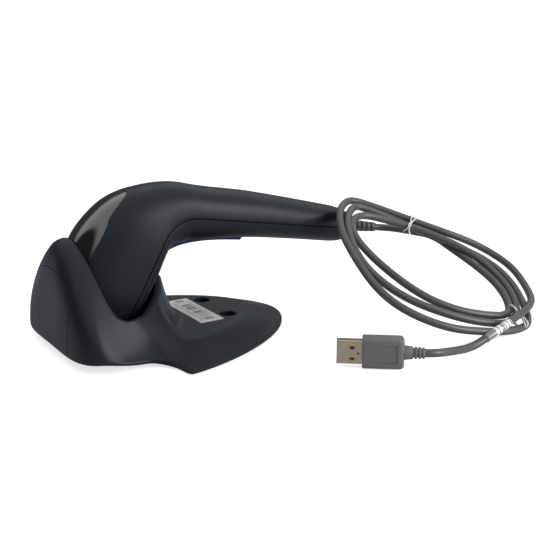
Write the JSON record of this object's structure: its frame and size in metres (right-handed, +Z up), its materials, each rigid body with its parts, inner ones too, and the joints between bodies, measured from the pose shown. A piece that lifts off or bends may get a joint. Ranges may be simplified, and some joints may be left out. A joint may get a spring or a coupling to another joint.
{
  "type": "handheld barcode scanner",
  "caption": "Handheld barcode scanner resting nose-down in a curved desk holder, with a blue trigger bar, a ribbed cable boot and a tied cable that ends in a USB plug.",
  "frame": {"origin": "on the table, midway between the holder's two screw holes", "axes": "+X from the holder's front towards the butt of the handle, +Z up"},
  "size_m": [0.2646, 0.1917, 0.0816],
  "materials": {
    "charcoal": "fine matte texture",
    "gloss_panel": "high gloss",
    "window": "clear, tinted dark red",
    "lens": "clear",
    "foot_rubber": "matte",
    "label": "matte paper",
    "engine_black": "matte",
    "board": "solder mask",
    "flex": "satin",
    "bracket": "matte",
    "trigger_blue": "satin",
    "steel": "satin",
    "ivory": "satin",
    "clear_plastic": "clear",
    "cable": "satin",
    "tie_white": "satin",
    "plated": "bright",
    "gold": "bright"
  },
  "bodies": {
    "holder": {"holder_shell": "charcoal", "rubber_feet": "foot_rubber", "holder_label": "label"},
    "scanner": {"upper_housing": "charcoal", "lower_housing": "charcoal", "head_panel": "gloss_panel", "nose_bezel": "charcoal", "scan_window": "window", "engine_chassis": "engine_black", "lens_barrel": "engine_black", "front_lens": "lens", "lamp_lenses": "lens", "sensor_board": "board", "ribbon_cable": "flex", "main_board": "board", "decoder_chips": "engine_black", "beeper": "engine_black", "trigger_bracket": "bracket", "trigger_pin": "steel", "trigger_spring": "steel", "switch_body": "engine_black", "housing_screws": "steel", "cable_jack": "engine_black", "modular_plug": "clear_plastic", "cable_boot": "cable", "cord_lead": "cable", "cord_loop": "cable", "cord_tail": "cable", "loop_ties": "tie_white", "cord_label": "label", "plug_grip": "cable", "plug_shell": "plated", "plug_tongue": "ivory", "plug_contacts": "gold"},
    "trigger": {"trigger": "trigger_blue"},
    "plunger": {"switch_plunger": "ivory"}
  },
  "joints": [
    {"name": "lift_out", "type": "slide", "parent": "holder", "child": "scanner", "axis": [0.5, 0, 0.866], "range_m": [0, 0.07]},
    {"name": "trigger_pull", "type": "hinge", "parent": "scanner", "child": "trigger", "pos_m": [0.01168, 0, 0.05264], "axis": [0, 1, 0], "range_deg": [0, 4.5], "stiffness_Nm_per_rad": 0.6, "springref_deg": -5.73, "deforming": ["trigger_spring"]},
    {"name": "plunger_press", "type": "slide", "parent": "scanner", "child": "plunger", "axis": [0.1771, 0, 0.9842], "range_m": [0, 0.0008]}
  ],
  "couplings": [
    {"joint": "plunger_press", "follows": "trigger_pull", "m_per_rad": 0.0095}
  ]
}
